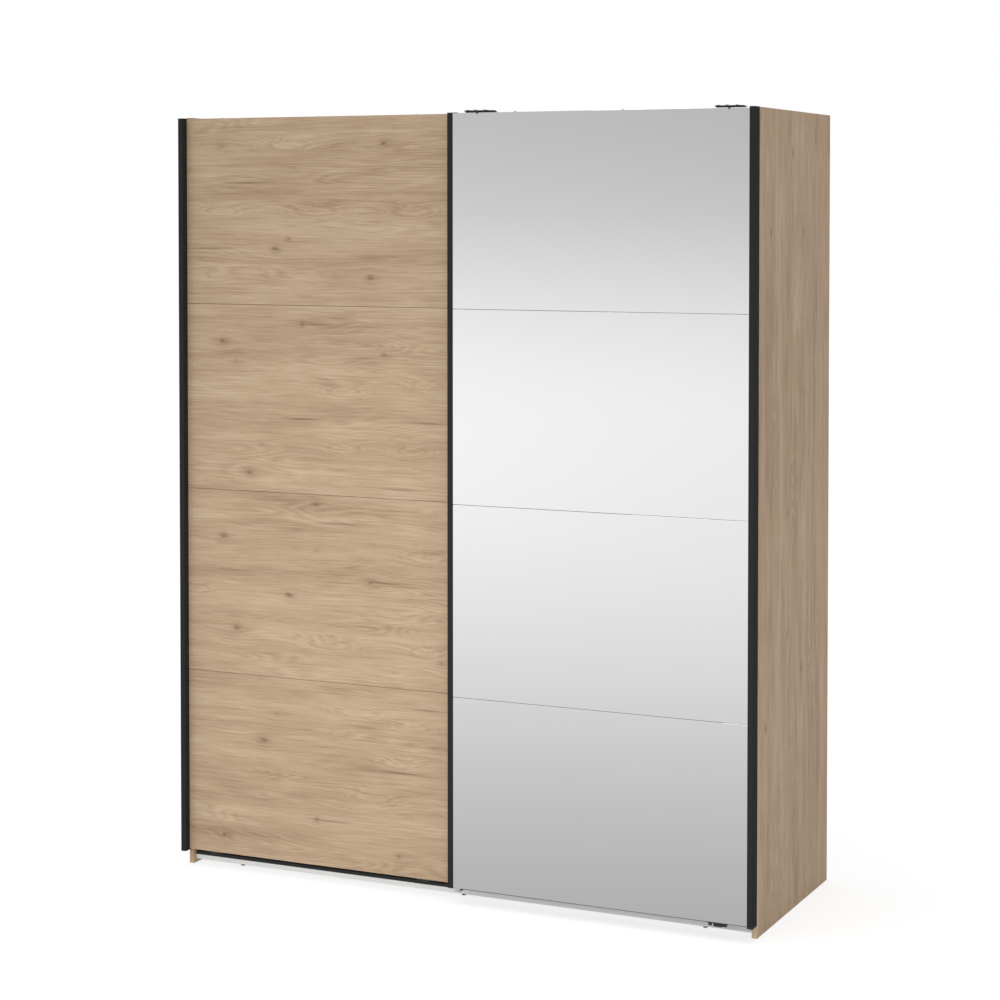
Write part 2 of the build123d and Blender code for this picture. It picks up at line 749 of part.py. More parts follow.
def wood_door():
    """The rear door: four wood boards between a grip profile and a plain edge profile."""
    labels = [f"wood_door_board_{i}" for i in (1, 2, 3, 4)]
    every_screw = wood_screws + wood_guide_screws
    for label, panel in door_boards(wood_left, wood_right, wood_face, wood_back, labels,
                                    wood_hangers, every_screw):
        save(panel, label)
    splines(wood_left, wood_right, wood_face, wood_back, "wood_door_joint_strips")
    grip = (wood_left, 1, wood_grip_front, wood_back + profile_lip)
    edge = (wood_right, -1, wood_face - profile_lip, wood_back + profile_lip)
    door_profile(*grip, wood_face, wood_chamber, "wood_door_grip_profile")
    door_profile(*edge, wood_face, None, "wood_door_edge_profile")
    caps = [(*grip, wood_chamber, cap_thickness, 2 * cap_thickness, 0)]
    caps.append((*edge, None, cap_thickness, cap_thickness, 0))
    end_caps(caps, "wood_door_end_caps")


def wood_door_hangers():
    """Flat steel plates let into the back of the door, each with two wheels behind it."""
    plate_top = door_top - 2.5
    with BuildPart() as group:
        for x in wood_hangers:
            block(x - hanger_half, x + hanger_half, depth(wood_back - hanger_plate), depth(wood_back),
                  hanger_foot, plate_top)
        chamfer(group.edges().filter_by(Axis.Y), 4.0)
        for point, _, radius, _ in wood_screws:
            bore((point[0], depth(wood_back), point[2]), (0, -1, 0), radius, hanger_plate)
        for x in wood_hangers:
            for dx in (-wheel_spread, wheel_spread):
                bore((x + dx, depth(wood_back), wood_axle_z), (0, -1, 0), axle_radius, hanger_plate)
    save(group, "wood_door_hangers")
    centres = [x + dx for x in wood_hangers for dx in (-wheel_spread, wheel_spread)]
    axles(centres, wood_back, wood_rail_y, wood_axle_z, "wood_door_axles")
    for number, x in enumerate(centres, start=1):
        wheel(x, wood_rail_y, wood_axle_z, f"wood_door_wheel_{number}")


def wood_door_guides():
    """Plastic guides under the door: an arm reaches back and a fin runs in the rear channel."""
    arm_z = wood_guide_bottom + 3
    with BuildPart() as group:
        for x in wood_guides:
            block(x - 29.5, x + 29.5, depth(wood_face + 1), depth(wood_back - 1),
                  door_bottom - guide_foot, door_bottom)
            block(x - 12, x + 12, depth(wood_face + 1), depth(wood_back - 1), wood_guide_bottom, door_bottom)
            block(x - 12, x + 12, depth(wood_back - 1), depth(35.5), wood_guide_bottom, arm_z)
            block(x - 15, x + 15, depth(29.5), depth(35.5), fin_bottom, arm_z)
        for point, _, radius, _ in wood_guide_screws:
            bore(point, (0, 0, -1), radius, guide_foot)
    save(group, "wood_door_guides")
    with BuildPart() as screws:
        draw_screws(wood_screws + wood_guide_screws)
    save(screws, "wood_door_screws")


# ------------------------------------------------------------------ the mirror door
mirror_hangers = (mirror_left + hanger_inset, mirror_right - hanger_inset)
mirror_guide_right = 792.0
mirror_guide_left = 24.0
mirror_guide_bottom = 34.5
mirror_guide_y = mirror_back - 4.0
mirror_screws = hanger_screws(mirror_hangers, mirror_back)
mirror_guide_screws = guide_screws((mirror_guide_right,), (-7.0, 7.0), mirror_guide_y)
mirror_guide_screws += guide_screws((mirror_guide_left,), (0.0,), mirror_guide_y)
mirror_front = mirror_face - mirror_lip
mirror_chamber = (mirror_back + profile_lip, mirror_front + grip_depth - profile_wall)


def mirror_door():
    """The front door: four mirror panes, each glued to a carrier board, between profiles."""
    glass_back = mirror_face + mirror_glass
    x0 = mirror_left + profile_width - profile_slot
    x1 = mirror_right - profile_width + profile_slot
    for i in range(4):
        z0 = seams[i] + (seam_gap / 2 if i > 0 else 0)
        z1 = seams[i + 1] - (seam_gap / 2 if i < 3 else 0)
        with BuildPart() as pane:
            block(x0, x1, depth(mirror_face), depth(glass_back), z0, z1)
            chamfer(pane.edges(), 0.3)
        save(pane, f"mirror_pane_{i + 1}")

    every_screw = mirror_screws + mirror_guide_screws
    for x in mirror_hangers:
        every_screw.append(((x, depth(adjuster_y), door_top), (0, 0, -1), adjuster_radius, adjuster_depth))
    with BuildPart() as carriers:
        for _, panel in door_boards(mirror_left, mirror_right, glass_back, mirror_back, range(4),
                                    mirror_hangers, every_screw):
            add(panel.part)
    save(carriers, "mirror_carrier_boards")
    splines(mirror_left, mirror_right, glass_back, mirror_back, "mirror_door_joint_strips")
    grip = (mirror_right, -1, mirror_front, mirror_front + grip_depth)
    edge = (mirror_left, 1, mirror_front, mirror_back + profile_lip)
    door_profile(*grip, mirror_face, mirror_chamber, "mirror_door_grip_profile")
    door_profile(*edge, mirror_face, None, "mirror_door_edge_profile")
    caps = [(*grip, mirror_chamber, grip_cap_top, grip_cap_bottom, 0)]
    caps.append((*edge, None, 1.5 * cap_thickness, cap_thickness, cap_ear))
    end_caps(caps, "mirror_door_end_caps")


def mirror_door_hangers():
    """Bent hangers: a leg on the door's back, an arm over the rear door, a drop leg and a clip
    that laps the top edge of the glass."""
    shoulder = 12.0
    drop_half = 26.0
    lug_offset = 26.0
    clip_middle = 9.0
    clip_half = 2.0
    clip_front = -54.8
    with BuildPart() as group:
        for x in mirror_hangers:
            block(x - hanger_half, x + hanger_half, depth(mirror_back - hanger_plate), depth(mirror_back),
                  hanger_foot, arm_top)
            block(x - hanger_half, x + hanger_half, depth(-51.0), depth(shoulder), arm_bottom, arm_top)
            block(x - drop_half, x + drop_half, depth(shoulder), depth(arm_end), arm_bottom, arm_top)
            block(x - drop_half, x + drop_half, depth(arm_end - hanger_plate), depth(arm_end),
                  mirror_axle_z - 9, arm_top)
            for dx in (-lug_offset, lug_offset):
                block(x + dx - 1.5, x + dx + 1.5, depth(-45.0), depth(shoulder - 3), arm_top, arm_top + 1.6)
            clip = x + clip_middle
            block(clip - clip_half, clip + clip_half, depth(clip_front), depth(-51.0), arm_bottom, arm_top)
            block(clip - clip_half, clip + clip_half, depth(clip_front), depth(clip_front + 1.5),
                  door_top - 3.5, arm_top)
            bore((x, depth(adjuster_y), arm_top), (0, 0, -1), adjuster_radius, arm_top - arm_bottom)
            for dx in (-wheel_spread, wheel_spread):
                bore((x + dx, depth(arm_end), mirror_axle_z), (0, -1, 0), axle_radius, hanger_plate)
        for point, _, radius, _ in mirror_screws:
            bore((point[0], depth(mirror_back), point[2]), (0, -1, 0), radius, hanger_plate)
    save(group, "mirror_door_hangers")
    centres = [x + dx for x in mirror_hangers for dx in (-wheel_spread, wheel_spread)]
    axles(centres, arm_end, mirror_rail_y, mirror_axle_z, "mirror_door_axles")
    for number, x in enumerate(centres, start=1):
        wheel(x, mirror_rail_y, mirror_axle_z, f"mirror_door_wheel_{number}")


def mirror_guide(x, half, arm_half, lobes, label):
    """A guide under the mirror door: its arm reaches back, and a fin runs in the front channel."""
    arm_z = mirror_guide_bottom + 3
    with BuildPart() as guide:
        block(x - half, x + half, depth(-52.0), depth(mirror_back), door_bottom - guide_foot, door_bottom)
        block(x - arm_half, x + arm_half, depth(-50.0), depth(mirror_back), mirror_guide_bottom, door_bottom)
        for dx in lobes:
            block(x + dx - 4, x + dx + 4, depth(-52.0), depth(-46.0), mirror_guide_bottom + 2, door_bottom)
        block(x - arm_half, x + arm_half, depth(mirror_back), depth(23.5), mirror_guide_bottom, arm_z)
        block(x - half / 2, x + half / 2, depth(17.0), depth(23.5), fin_bottom, arm_z)
        for point, _, radius, _ in mirror_guide_screws:
            bore(point, (0, 0, -1), radius, guide_foot)
            bore((point[0], point[1], door_bottom - guide_foot), (0, 0, -1), door_screw_head + 0.3, 20.0)
    save(guide, label)


def mirror_door_fasteners():
    """The screws of the hangers and guides, and the two height adjusters."""
    with BuildPart() as group:
        draw_screws(mirror_screws + mirror_guide_screws)
        for x in mirror_hangers:
            rod((x, depth(adjuster_y), door_top - adjuster_depth), (0, 0, 1), adjuster_radius,
                arm_top - door_top + adjuster_depth)
            rod((x, depth(adjuster_y), arm_top), (0, 0, 1), 5.0, 2.5)
    save(group, "mirror_door_screws")


# ================================================================== make every piece
side_panel(-1, "side_panel_left")
side_panel(1, "side_panel_right")
top_panel()
bottom_panel()
centre_partition()
shelf(-1, hat_shelf_z, "hat_shelf_left")
shelf(1, hat_shelf_z, "hat_shelf_right")
for number, level in enumerate(shelf_levels, start=1):
    shelf(1, level, f"shelf_right_{number}")
back_leaf(-1, "back_panel_left")
back_leaf(1, "back_panel_right")
back_joiner()
nails()
cam_bolts()
cam_locks()
dowels()
shelf_pins()
hanging_rail()
rail_sockets()
socket_screws()
top_track()
bottom_channel()
track_screws()
end_stops()
floor_glides()
wood_door()
wood_door_hangers()
wood_door_guides()
mirror_door()
mirror_door_hangers()
mirror_guide(mirror_guide_right, 29.5, 12.0, (-21.0, 21.0), "mirror_door_guide_right")
mirror_guide(mirror_guide_left, 10.0, 6.0, (), "mirror_door_guide_left")
mirror_door_fasteners()
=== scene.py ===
"""Looks of the sliding door wardrobe: materials, small fittings, floor, light and camera."""

import json
import math

import bmesh
import bpy
from mathutils import Matrix, Vector


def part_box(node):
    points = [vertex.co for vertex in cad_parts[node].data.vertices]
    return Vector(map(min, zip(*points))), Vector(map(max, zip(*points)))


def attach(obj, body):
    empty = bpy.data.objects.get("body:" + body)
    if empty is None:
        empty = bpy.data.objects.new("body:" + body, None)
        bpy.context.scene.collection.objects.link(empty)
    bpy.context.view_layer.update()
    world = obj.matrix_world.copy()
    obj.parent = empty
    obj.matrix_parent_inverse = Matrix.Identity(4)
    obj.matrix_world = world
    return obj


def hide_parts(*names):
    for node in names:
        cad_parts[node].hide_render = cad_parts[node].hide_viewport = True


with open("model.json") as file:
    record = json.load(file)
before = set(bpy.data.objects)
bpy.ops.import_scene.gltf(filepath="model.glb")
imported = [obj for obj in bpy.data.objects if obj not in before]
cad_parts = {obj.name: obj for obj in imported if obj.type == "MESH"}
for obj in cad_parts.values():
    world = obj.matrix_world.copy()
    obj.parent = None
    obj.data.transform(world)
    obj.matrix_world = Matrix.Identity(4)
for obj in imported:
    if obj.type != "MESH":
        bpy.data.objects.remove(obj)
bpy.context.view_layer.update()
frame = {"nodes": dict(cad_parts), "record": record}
nodes = frame["nodes"]
scene = bpy.context.scene

# ------------------------------------------------------------------ view
CAMERA_PLACE = (2.9107, -6.2412, 1.9262)
CAMERA_YAW = 0.4364  # turned to the left, in radians
CAMERA_PITCH = 0.0337  # and slightly down
CAMERA_LENS = 85.616
CAMERA_SHIFT = -0.20623

camera_data = bpy.data.cameras.new("camera")
camera_data.lens = CAMERA_LENS
camera_data.sensor_width = 36.0
camera_data.shift_y = CAMERA_SHIFT
camera_data.clip_end = 200.0
camera = bpy.data.objects.new("camera", camera_data)
camera.location = CAMERA_PLACE
camera.rotation_euler = (math.pi / 2 - CAMERA_PITCH, 0.0, CAMERA_YAW)
scene.collection.objects.link(camera)
scene.camera = camera
scene.view_settings.view_transform = "Standard"


# ------------------------------------------------------------------ shader building
def linear(red, green, blue):
    """A colour given as 0 to 255 screen values, as the linear colour that shaders use."""
    def one(value):
        v = value / 255.0
        return v / 12.92 if v <= 0.04045 else ((v + 0.055) / 1.055) ** 2.4
    return (one(red), one(green), one(blue), 1.0)


class Graph:
    """A node tree with short calls for the nodes that the materials here share."""

    def __init__(self, tree):
        self.tree = tree

    def node(self, kind, **settings):
        made = self.tree.nodes.new(kind)
        for key, value in settings.items():
            setattr(made, key, value)
        return made

    def feed(self, socket, value):
        """Links a socket, or sets a plain number or tuple."""
        if isinstance(value, bpy.types.NodeSocket):
            self.tree.links.new(value, socket)
        else:
            socket.default_value = value

    def math(self, operation, *values, clamp=False):
        made = self.node("ShaderNodeMath", operation=operation, use_clamp=clamp)
        for socket, value in zip(made.inputs, values):
            self.feed(socket, value)
        return made.outputs[0]

    def add(self, base, value, factor):
        """base plus value times factor."""
        return self.math("MULTIPLY_ADD", value, factor, base)

    def centred(self, value):
        """A noise value, moved to lie about nothing."""
        return self.math("SUBTRACT", value, 0.5)

    def vector(self, operation, *values):
        made = self.node("ShaderNodeVectorMath", operation=operation)
        for socket, value in zip(made.inputs, values):
            self.feed(socket, value)
        return made.outputs["Value" if operation in ("DOT_PRODUCT", "LENGTH") else "Vector"]

    def combine(self, x, y, z=0.0):
        made = self.node("ShaderNodeCombineXYZ")
        for socket, value in zip(made.inputs, (x, y, z)):
            self.feed(socket, value)
        return made.outputs[0]

    def split(self, vector):
        made = self.node("ShaderNodeSeparateXYZ")
        self.feed(made.inputs[0], vector)
        return made.outputs

    def place(self):
        """The point on the piece in the row frame, in metres; it goes with the piece."""
        return self.node("ShaderNodeTexCoord").outputs["Object"]

    def bell(self, square):
        """1 where the squared distance is nothing, and falling to nothing around it."""
        return self.math("EXPONENT", self.math("MULTIPLY", square, -1.0))

    def near(self, point, middle, reach):
        """The offset of a point from a middle, in units of a reach along and across, and its square."""
        off = self.vector("SUBTRACT", point, (*middle, 0.0))
        scaled = self.vector("MULTIPLY", off, (1 / reach[0], 1 / reach[1], 0.0))
        return scaled, self.vector("DOT_PRODUCT", scaled, scaled)

    def noise(self, vector, scale=1.0, detail=2.0, roughness=0.5):
        made = self.node("ShaderNodeTexNoise")
        self.feed(made.inputs["Vector"], vector)
        made.inputs["Scale"].default_value = scale
        made.inputs["Detail"].default_value = detail
        made.inputs["Roughness"].default_value = roughness
        return made.outputs[0]

    def spread(self, value, low, high, to_low=0.0, to_high=1.0):
        """A value between low and high, stretched to another range and kept inside it."""
        made = self.node("ShaderNodeMapRange", clamp=True)
        for socket, number in zip(made.inputs, (value, low, high, to_low, to_high)):
            self.feed(socket, number)
        return made.outputs[0]

    def ramp(self, factor, stops):
        made = self.node("ShaderNodeValToRGB")
        self.feed(made.inputs[0], factor)
        ramp = made.color_ramp
        while len(ramp.elements) < len(stops):
            ramp.elements.new(0.5)
        for element, (position, colour) in zip(ramp.elements, stops):
            element.position = position
            element.color = colour
        return made.outputs[0]

    def mix(self, factor, a, b):
        made = self.node("ShaderNodeMix", data_type="RGBA")
        self.feed(made.inputs[0], factor)
        self.feed(made.inputs[6], a)
        self.feed(made.inputs[7], b)
        return made.outputs[2]

    def bump(self, height, distance, strength=1.0):
        made = self.node("ShaderNodeBump")
        made.inputs["Strength"].default_value = strength
        made.inputs["Distance"].default_value = distance
        self.feed(made.inputs["Height"], height)
        return made.outputs[0]


def material(name, colour, **settings):
    """A new material with a Principled shader; returns the material, its graph and shader."""
    made = bpy.data.materials.new(name)
    made.use_nodes = True
    graph = Graph(made.node_tree)
    shader = made.node_tree.nodes["Principled BSDF"]
    shader.inputs["Base Color"].default_value = colour
    for key, value in settings.items():
        shader.inputs[key.replace("_", " ")].default_value = value
    return made, graph, shader


# ------------------------------------------------------------------ wood
DARK_WOOD = linear(158, 131, 105)
MID_WOOD = linear(187, 161, 134)
LIGHT_WOOD = linear(206, 183, 157)
KNOT_WOOD = linear(112, 84, 62)


EDGE_TURN = 0.6  # how far the print runs on round a board's edges, per metre behind its face

# Noise in the wood: cycles a metre along and across the grain, a seed shift and the detail.
DRIFT = (1.1, 4.0, 0.0, 2.0)  # the slow wander of the grain
RIPPLE = (5.0, 16.0, 3.0, 2.0)  # shorter waves in it
WARP = (38.0, 90.0, 5.0, 3.0)  # keeps knots and swirls from being even ovals
FRAY = (60.0, 170.0, 0.0, 2.0)  # ragged cores of knots
BANDS = (1.1, 13.0, 11.0, 2.0)
PATCHES = (4.5, 30.0, 13.0, 2.0)
LINES = (1.8, 170.0, 17.0, 4.0)
FIBRES = (9.0, 420.0, 23.0, 2.0)
PORES = (34.0, 1500.0, 29.0, 1.0)
CONTOURS = (1.7, 15.0, 37.0, 1.0)  # growth lines, as on a map
FIGURED = (2.2, 9.0, 41.0, 0.0)  # where the growth lines show

DRIFT_SWAY = 0.032  # metres that the grain wanders
RIPPLE_SWAY = 0.0045
WARP_ALONG = 0.030
WARP_ACROSS = -0.011
KNOT_REACH = (5.4, 3.3)  # along and across, in sizes of the knot
KNOT_PUSH = -1.9  # how far the grain bends round a knot, in sizes of the knot
CORE, CRESCENT, HALO = 15.0, 11.0, 3.0  # the higher the power, the smaller the spot
SWIRL_PUSH = 0.9  # in heights of the swirl
SWIRL_RINGS = 11.0
FISSURE_WIDTH = 0.0026
FISSURE_SWAY = 0.01
CONTOUR_COUNT = 21.0
TONE_MIDDLE = 0.54


def wood(name, along, across, face, knots, swirls, fissures, tint, seed):
    """Light hickory print. along and across are axis numbers of the grain on the big faces,
    and face is where the printed face lies on the third axis.

    knots are (place along, place across, size, darkness), swirls are (along, across, length,
    height) of figure that the grain flows round, and fissures are (along, across, half length).
    """
    made, graph, shader = material(name, MID_WOOD, Roughness=0.52, Specular_IOR_Level=0.35)
    axes = graph.split(graph.place())
    u = axes[along]
    behind_face = graph.math("SUBTRACT", axes[3 - along - across], face)
    v = graph.add(axes[across], behind_face, EDGE_TURN)

    def field(settings, sideways, roughness):
        per_along, per_across, shift, detail = settings
        stretched_u = graph.math("MULTIPLY", u, per_along)
        stretched_v = graph.math("MULTIPLY", sideways, per_across)
        point = graph.combine(stretched_u, stretched_v, seed + shift)
        return graph.noise(point, detail=detail, roughness=roughness)

    drift = graph.centred(field(DRIFT, v, 0.5))
    ripple = graph.centred(field(RIPPLE, v, 0.5))
    flow = graph.add(graph.add(v, drift, DRIFT_SWAY), ripple, RIPPLE_SWAY)
    warp = graph.centred(field(WARP, v, 0.5))
    spot = graph.combine(graph.add(u, warp, WARP_ALONG), graph.add(v, warp, WARP_ACROSS))

    cores, crescents, halos = 0.0, 0.0, 0.0
    for cu, cv, size, dark in knots:
        scaled, square = graph.near(spot, (cu, cv), (KNOT_REACH[0] * size, KNOT_REACH[1] * size))
        bell = graph.bell(square)
        flow = graph.add(flow, graph.math("MULTIPLY", graph.split(scaled)[1], bell), KNOT_PUSH * size)
        cores = graph.add(cores, graph.math("POWER", bell, CORE), dark)
        crescents = graph.add(crescents, graph.math("POWER", bell, CRESCENT), dark)
        halos = graph.add(halos, graph.math("POWER", bell, HALO), dark)

    rings = 0.0
    for cu, cv, length, height in swirls:
        _, square = graph.near(spot, (cu, cv), (length, height))
        bell = graph.bell(square)
        flow = graph.add(flow, bell, SWIRL_PUSH * height)
        rings = graph.add(rings, graph.math("SINE", graph.math("MULTIPLY", square, SWIRL_RINGS)), bell)

    cracks = 0.0
    wandering = graph.combine(u, graph.add(v, drift, FISSURE_SWAY))
    for cu, cv, half in fissures:
        _, square = graph.near(wandering, (cu, cv), (half, FISSURE_WIDTH))
        cracks = graph.math("ADD", graph.bell(square), cracks)

    bands, patches, lines, fibres = (field(layer, flow, 0.6) for layer in (BANDS, PATCHES, LINES, FIBRES))
    pores = graph.spread(field(PORES, flow, 0.6), 0.60, 0.72)
    contours = graph.math("MULTIPLY", field(CONTOURS, flow, 0.6), CONTOUR_COUNT)
    contours = graph.math("SUBTRACT", 0.25, graph.math("PINGPONG", contours, 0.5))
    figure = graph.math("MULTIPLY", contours, graph.spread(field(FIGURED, flow, 0.6), 0.44, 0.62))
    tone = TONE_MIDDLE
    for layer, strength in ((bands, 0.95), (patches, 0.72), (lines, 0.78), (fibres, 1.30)):
        tone = graph.add(tone, graph.centred(layer), strength)
    for layer, strength in ((figure, 0.62), (pores, -0.20), (halos, -0.34), (crescents, 0.42), (rings, 0.16)):
        tone = graph.add(tone, layer, strength)

    colour = graph.ramp(tone, [(0.0, DARK_WOOD), (0.5, MID_WOOD), (1.0, LIGHT_WOOD)])
    frayed = graph.spread(field(FRAY, v, 0.5), 0.25, 0.62, 0.45, 1.15)
    frayed = graph.math("MULTIPLY", cores, frayed, clamp=True)
    for mark, strength in ((frayed, 0.85), (cracks, 0.62)):
        colour = graph.mix(graph.math("MULTIPLY", mark, strength, clamp=True), colour, KNOT_WOOD)
    tinted = graph.node("ShaderNodeMix", data_type="RGBA", blend_type="MULTIPLY")
    tinted.inputs[0].default_value = 1.0
    graph.feed(tinted.inputs[6], colour)
    tinted.inputs[7].default_value = (*tint, 1.0)
    graph.feed(shader.inputs["Base Color"], tinted.outputs[2])
    graph.feed(shader.inputs["Roughness"], graph.spread(lines, 0.3, 0.7, 0.58, 0.48))
    relief = graph.add(graph.add(fibres, pores, -0.8), cracks, -1.0)
    graph.feed(shader.inputs["Normal"], graph.bump(relief, 0.00006, 0.6))
    return made


# The print of each board, placed as shares of the board: along its length from the left,
# and up its height. A knot has a size in metres and a darkness, a swirl a length and a height,
# and a fissure half its length.
BOARD_KNOTS = {
    1: [(0.30, 0.65, 0.008, 0.9), (0.15, 0.10, 0.008, 1.0), (0.50, 0.25, 0.007, 0.9),
        (0.80, 0.10, 0.005, 0.8), (0.35, 0.80, 0.007, 0.4), (0.30, 0.35, 0.006, 0.4)],
    2: [(0.50, 0.95, 0.008, 0.8), (0.15, 0.75, 0.008, 1.0), (0.70, 0.55, 0.007, 0.9),
        (0.40, 0.45, 0.008, 1.0), (0.20, 0.25, 0.008, 1.0), (0.95, 0.15, 0.005, 0.5),
        (0.50, 0.70, 0.006, 0.4)],
    3: [(0.45, 0.90, 0.007, 1.0), (0.15, 0.80, 0.008, 1.0), (0.75, 0.75, 0.005, 0.9),
        (0.25, 0.10, 0.008, 0.9), (0.20, 0.70, 0.006, 0.4), (0.30, 0.25, 0.007, 0.4)],
    4: [(0.75, 0.85, 0.007, 1.0), (0.35, 0.30, 0.008, 1.0), (0.40, 0.35, 0.004, 0.8),
        (0.70, 0.15, 0.008, 0.9), (0.15, 0.85, 0.008, 0.4), (0.10, 0.15, 0.006, 0.4)],
}
BOARD_SWIRLS = {
    1: [(0.65, 0.85, 0.10, 0.020), (0.85, 0.80, 0.08, 0.020), (0.80, 0.60, 0.09, 0.020),
        (0.70, 0.40, 0.09, 0.022)],
    2: [(0.90, 0.70, 0.09, 0.024), (0.90, 0.20, 0.08, 0.024), (0.05, 0.45, 0.06, 0.020),
        (0.55, 0.20, 0.10, 0.020)],
    3: [(0.60, 0.55, 0.08, 0.022), (0.90, 0.60, 0.07, 0.022), (0.60, 0.25, 0.08, 0.022),
        (0.85, 0.25, 0.07, 0.020)],
    4: [(0.40, 0.85, 0.10, 0.022), (0.85, 0.50, 0.09, 0.022), (0.15, 0.50, 0.08, 0.020),
        (0.50, 0.50, 0.10, 0.022)],
}
BOARD_FISSURES = {
    1: [(0.80, 0.55, 0.08), (0.55, 0.25, 0.06), (0.90, 0.90, 0.06)],
    2: [(0.75, 0.55, 0.06), (0.60, 0.85, 0.06)],
    3: [(0.50, 0.90, 0.06), (0.90, 0.40, 0.06), (0.80, 0.05, 0.06), (0.45, 0.40, 0.06)],
    4: [(0.25, 0.65, 0.08), (0.10, 0.30, 0.06)],
}
# On the side panels the shares are up the height and back from the front edge.
SIDE_KNOTS = [
    (0.95, 0.45, 0.006, 0.8), (0.85, 0.60, 0.006, 0.6), (0.85, 0.15, 0.006, 0.8),
    (0.65, 0.60, 0.006, 0.6), (0.50, 0.40, 0.007, 0.6), (0.35, 0.40, 0.007, 0.7),
    (0.30, 0.60, 0.007, 0.7), (0.25, 0.10, 0.007, 0.7),
]
SIDE_SWIRLS = [(0.75, 0.50, 0.14, 0.022), (0.50, 0.60, 0.16, 0.024), (0.25, 0.45, 0.14, 0.022)]
SIDE_FISSURES = [(0.75, 0.80, 0.05), (0.30, 0.20, 0.06), (0.55, 0.10, 0.05)]
DOOR_TINT = (0.868, 0.860, 0.830)
# The side panels carry the doors' hickory print and greyish tint, made about a quarter lighter: painted light
# on the sides of the wardrobe.
SIDE_TINT_AND_PAINTED_LIGHT = (1.10, 1.09, 1.06)
DOOR_SEED = 2.0  # one for all four boards
RIGHT_SEED = 71.0
LEFT_SEED = 43.0
ACROSS, DEPTH, UP = 0, 1, 2  # axis numbers
LOW, HIGH = 0, 1  # the corners of a box


def placed(features, node, along, across):
    """Features given as shares of a board, with their places in metres."""
    low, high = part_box(node)
    span = high - low
    return [(low[along] + a * span[along], low[across] + b * span[across], *rest)
            for a, b, *rest in features]


def board_wood(name, node, along, across, outer, knots, swirls, fissures, tint, seed):
    """The wood of one board; outer is the corner of its box where the seen face lies."""
    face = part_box(node)[outer][3 - along - across]
    prints = [placed(features, node, along, across) for features in (knots, swirls, fissures)]
    return wood(name, along, across, face, *prints, tint, seed)


upside_down = [(1.0 - up, *rest) for up, *rest in SIDE_KNOTS]
# Both side panels take the lighter tint, which is painted light on their faces and front edges.
side_woods = {
    "side_panel_right": board_wood("carcass_wood", "side_panel_right", UP, DEPTH, HIGH,
                                   SIDE_KNOTS, SIDE_SWIRLS, SIDE_FISSURES, SIDE_TINT_AND_PAINTED_LIGHT, RIGHT_SEED),
    "side_panel_left": board_wood("carcass_wood_left", "side_panel_left", UP, DEPTH, LOW,
                                  upside_down, SIDE_SWIRLS, SIDE_FISSURES, SIDE_TINT_AND_PAINTED_LIGHT, LEFT_SEED),
}
board_woods = {}
for number, knots in BOARD_KNOTS.items():
    node = f"wood_door_board_{number}"
    board_woods[node] = board_wood(f"door_wood_{number}", node, ACROSS, UP, LOW, knots, BOARD_SWIRLS[number],
                                   BOARD_FISSURES[number], DOOR_TINT, DOOR_SEED)


# ------------------------------------------------------------------ plain materials
CLOUD_SCALE = 6.0
CLOUD_SHARE = 0.4  # how much the broad clouds count against the fine grain
ROUGHNESS_SPREAD = 0.12


def speckled(name, colour, roughness, spread, scale, depth=0.00003, stretch=(1, 1, 1), **settings):
    """A material with faint colour variation and a fine relief.

    spread is the share that the colour varies, scale the fineness of the grain, depth its relief
    in metres, and stretch draws the grain out along the axes where it is small.
    """
    made, graph, shader = material(name, colour, **settings)
    place = graph.vector("MULTIPLY", graph.place(), stretch)
    grain = graph.noise(place, scale=scale, detail=3.0)
    clouds = graph.noise(place, scale=CLOUD_SCALE, detail=2.0)
    dark = tuple(c * (1 - spread) for c in colour[:3]) + (1.0,)
    light = tuple(min(1.0, c * (1 + spread)) for c in colour[:3]) + (1.0,)
    mixed = graph.add(grain, graph.centred(clouds), CLOUD_SHARE)
    graph.feed(shader.inputs["Base Color"], graph.ramp(mixed, [(0.25, dark), (0.75, light)]))
    smooth = roughness * (1 - ROUGHNESS_SPREAD)
    coarse = min(1.0, roughness * (1 + ROUGHNESS_SPREAD))
    graph.feed(shader.inputs["Roughness"], graph.spread(grain, 0.3, 0.7, smooth, coarse))
    graph.feed(shader.inputs["Normal"], graph.bump(grain, depth, 0.5))
    return made


